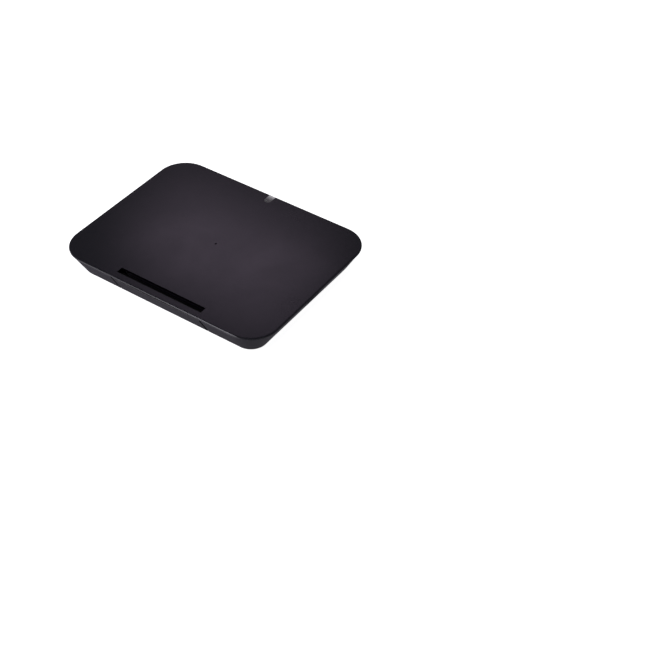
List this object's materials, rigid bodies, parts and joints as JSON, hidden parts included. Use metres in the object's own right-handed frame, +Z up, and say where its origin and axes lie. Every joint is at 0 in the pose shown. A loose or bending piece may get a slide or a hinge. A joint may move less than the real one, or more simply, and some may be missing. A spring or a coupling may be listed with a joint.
{
  "type": "wireless charging pad",
  "caption": "Flat rounded-rectangle wireless charging pad with a smoky status window, a fold-out rear leg, and a pop-up ledge in a long slot that holds a phone upright.",
  "frame": {"origin": "centre of the footprint, on the plane the rubber feet stand on", "axes": "+X along the long side towards the USB-C inlet, +Y towards the status window (the slot is on the -Y side), +Z up out of the charging face"},
  "size_m": [0.13, 0.101, 0.0145],
  "materials": {
    "cover_plastic": "fine satin moulding texture",
    "base_plastic": "satin moulded",
    "smoked_window": "translucent smoky plastic",
    "black_rubber": "matt",
    "tip_rubber": "satin dark grey",
    "steel": "zinc plated",
    "magnet": "nickel plated",
    "inner_plastic": "plain moulded",
    "ferrite": "sintered ferrite, matt dark grey",
    "tape": "thin adhesive sheet",
    "copper_litz": "enamelled copper strand",
    "foam": "closed-cell foam",
    "circuit_board": "green solder mask",
    "chip_black": "moulded epoxy",
    "ceramic_part": "ceramic body",
    "gold_contact": "gold plated",
    "led_body": "moulded lens"
  },
  "bodies": {
    "housing": {"top_cover": "cover_plastic", "base_shell": "base_plastic", "light_pipe": "smoked_window", "rubber_feet": "black_rubber", "housing_screws": "steel", "board_screws": "steel", "hinge_pins": "steel", "detent_magnets": "magnet", "coil_bracket": "inner_plastic", "coil_ferrite": "ferrite", "coil_tape": "tape", "coil_winding": "copper_litz", "coil_foam": "foam", "coil_leads": "copper_litz", "main_board": "circuit_board", "usb_c_shell": "steel", "usb_c_tongue": "chip_black", "usb_c_contacts": "gold_contact", "controller_chip": "chip_black", "bridge_mosfets": "chip_black", "resonance_capacitors": "ceramic_part", "power_inductor": "ferrite", "input_capacitors": "ceramic_part", "chip_resistors": "chip_black", "status_led": "led_body"},
    "kickstand": {"kickstand_leg": "base_plastic", "leg_foot_pad": "tip_rubber", "keeper_plate": "steel"},
    "ledge": {"phone_ledge": "base_plastic", "ledge_grip": "black_rubber"}
  },
  "joints": [
    {"name": "kickstand_hinge", "type": "hinge", "parent": "housing", "child": "kickstand", "pos_m": [0, 0.016, 0.0024], "axis": [1, 0, 0], "range_deg": [0, 65]},
    {"name": "ledge_slide", "type": "slide", "parent": "housing", "child": "ledge", "axis": [0, 0, 1], "range_m": [0, 0.0075]}
  ]
}
